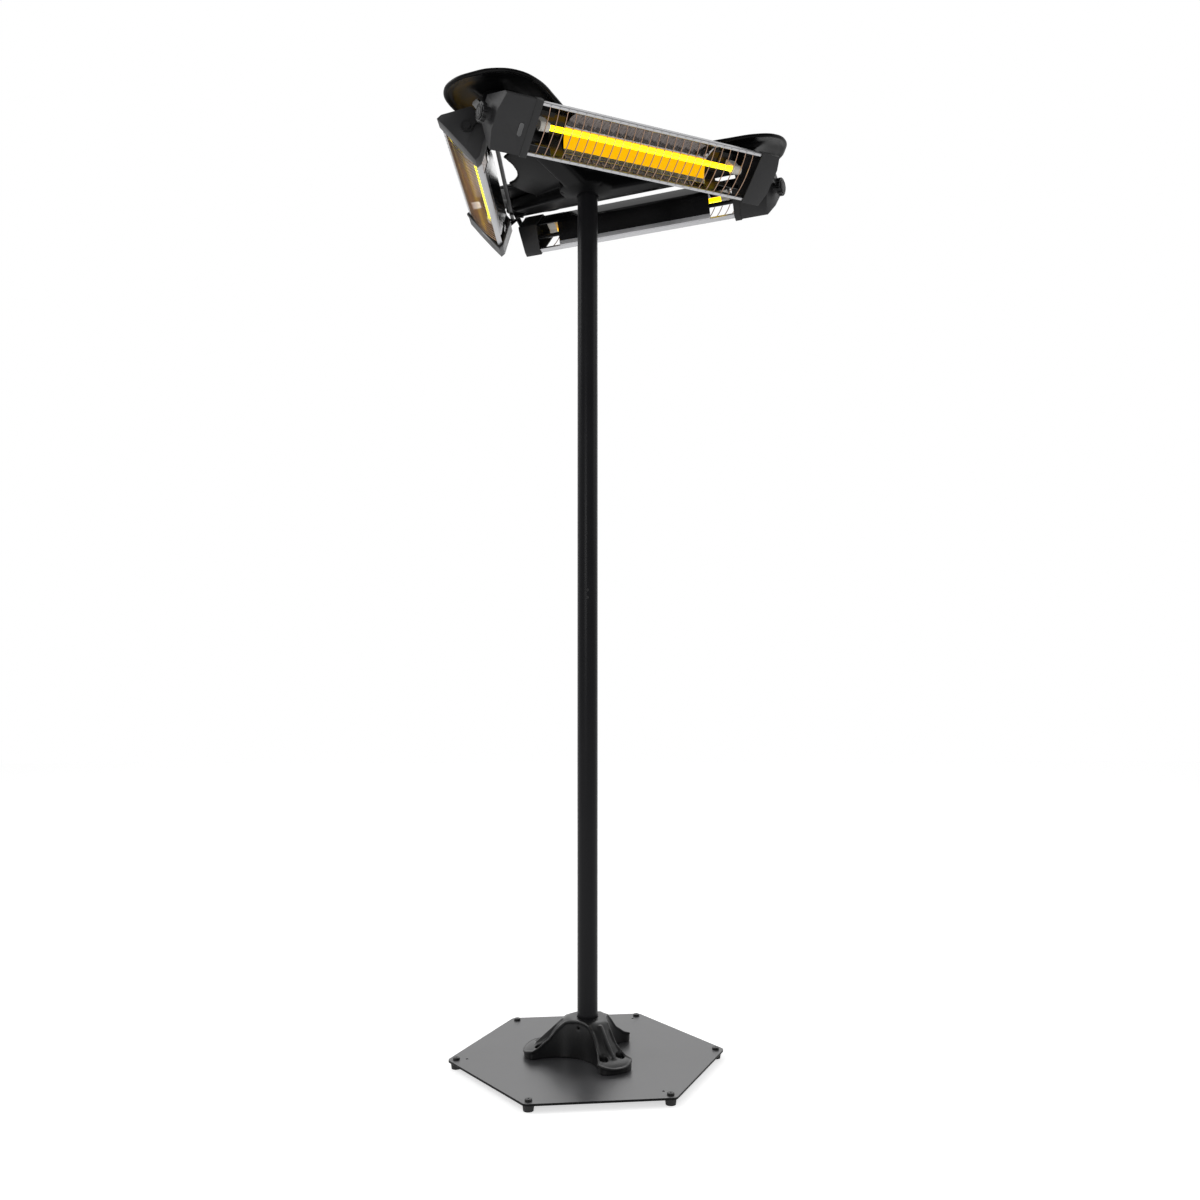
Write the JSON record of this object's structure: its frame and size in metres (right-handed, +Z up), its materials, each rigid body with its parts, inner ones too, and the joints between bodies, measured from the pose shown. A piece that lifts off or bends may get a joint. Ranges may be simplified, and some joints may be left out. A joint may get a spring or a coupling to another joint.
{
  "type": "electric patio heater",
  "caption": "Free-standing electric patio heater: hexagonal base plate, tall pole and a petal-armed head that carries tilting infrared lamps behind wire guards.",
  "frame": {"origin": "on the floor, under the pole axis", "axes": "+Z up along the pole; +X to the right and -Y towards the viewer of the picture"},
  "size_m": [0.7837, 0.8741, 2.1255],
  "materials": {
    "black_plate": "fine-textured matt black powder coat",
    "black_casting": "satin black powder coat on a casting",
    "black_pole": "satin black powder coat",
    "black_sheet": "satin black coated sheet",
    "gloss_black": "polished black moulding",
    "black_plastic": "fine-grained matt black moulding",
    "knob_plastic": "matt black moulding",
    "rubber": "matt rubber",
    "black_steel": "black oxide",
    "zinc_steel": "zinc plated",
    "bright_aluminium": "satin anodised",
    "bright_wire": "bright plated wire",
    "bright_reflector": "polished aluminium sheet",
    "gold_quartz": "gold-tinted quartz glass",
    "glowing_filament": "glowing carbon strip",
    "white_ceramic": "glazed ceramic",
    "green_board": "circuit board"
  },
  "bodies": {
    "stand": {"base_plate": "black_plate", "corner_screws": "black_steel", "foot_casting": "black_casting", "head_hub": "black_casting", "head_screws": "black_steel", "hub_cap": "black_plastic", "inlet_grommet": "rubber", "levelling_feet": "rubber", "lower_pole": "black_pole", "petal_1": "gloss_black", "petal_2": "gloss_black", "petal_3": "gloss_black", "pole_clamp_screws": "black_steel", "pole_joint_screws": "black_steel", "pole_sleeve": "zinc_steel", "terminal_block": "white_ceramic", "toe_screws": "black_steel", "upper_pole": "black_pole", "yoke_arms_1": "black_sheet", "yoke_arms_2": "black_sheet", "yoke_arms_3": "black_sheet", "yoke_bar_1": "black_sheet", "yoke_bar_2": "black_sheet", "yoke_bar_3": "black_sheet"},
    "heater_1": {"housing_1": "black_sheet", "reflector_1": "bright_reflector", "guard_rails_1": "bright_aluminium", "guard_wires_1": "bright_wire", "lamp_tube_1": "gold_quartz", "filament_1": "glowing_filament", "lamp_holders_1": "white_ceramic", "end_cap_1": "black_plastic", "control_cover_1": "black_plastic", "control_board_1": "green_board", "pivot_pins_1": "zinc_steel"},
    "knob_1": {"tilt_knob_1": "knob_plastic"},
    "heater_2": {"housing_2": "black_sheet", "reflector_2": "bright_reflector", "guard_rails_2": "bright_aluminium", "guard_wires_2": "bright_wire", "lamp_tube_2": "gold_quartz", "filament_2": "glowing_filament", "lamp_holders_2": "white_ceramic", "end_cap_2": "black_plastic", "control_cover_2": "black_plastic", "control_board_2": "green_board", "pivot_pins_2": "zinc_steel"},
    "knob_2": {"tilt_knob_2": "knob_plastic"},
    "heater_3": {"housing_3": "black_sheet", "reflector_3": "bright_reflector", "guard_rails_3": "bright_aluminium", "guard_wires_3": "bright_wire", "lamp_tube_3": "gold_quartz", "filament_3": "glowing_filament", "lamp_holders_3": "white_ceramic", "end_cap_3": "black_plastic", "control_cover_3": "black_plastic", "control_board_3": "green_board", "pivot_pins_3": "zinc_steel"},
    "knob_3": {"tilt_knob_3": "knob_plastic"}
  },
  "joints": [
    {"name": "heater_1_tilt", "type": "hinge", "parent": "stand", "child": "heater_1", "pos_m": [0.1203, -0.2135, 2.03746], "axis": [0.8712, 0.4909, 0], "range_deg": [-25, 25]},
    {"name": "knob_1_turn", "type": "hinge", "parent": "heater_1", "child": "knob_1", "pos_m": [0.1203, -0.2135, 2.03746], "axis": [0.8712, 0.4909, 0], "range_deg": [-180, 180]},
    {"name": "heater_2_tilt", "type": "hinge", "parent": "stand", "child": "heater_2", "pos_m": [-0.24505, 0.00257, 2.03746], "axis": [-0.0105, -0.9999, 0], "range_deg": [-25, 25]},
    {"name": "knob_2_turn", "type": "hinge", "parent": "heater_2", "child": "knob_2", "pos_m": [-0.24505, 0.00257, 2.03746], "axis": [-0.0105, -0.9999, 0], "range_deg": [-180, 180]},
    {"name": "heater_3_tilt", "type": "hinge", "parent": "stand", "child": "heater_3", "pos_m": [0.12474, 0.21093, 2.03746], "axis": [-0.8607, 0.509, 0], "range_deg": [-25, 25]},
    {"name": "knob_3_turn", "type": "hinge", "parent": "heater_3", "child": "knob_3", "pos_m": [0.12474, 0.21093, 2.03746], "axis": [-0.8607, 0.509, 0], "range_deg": [-180, 180]}
  ]
}
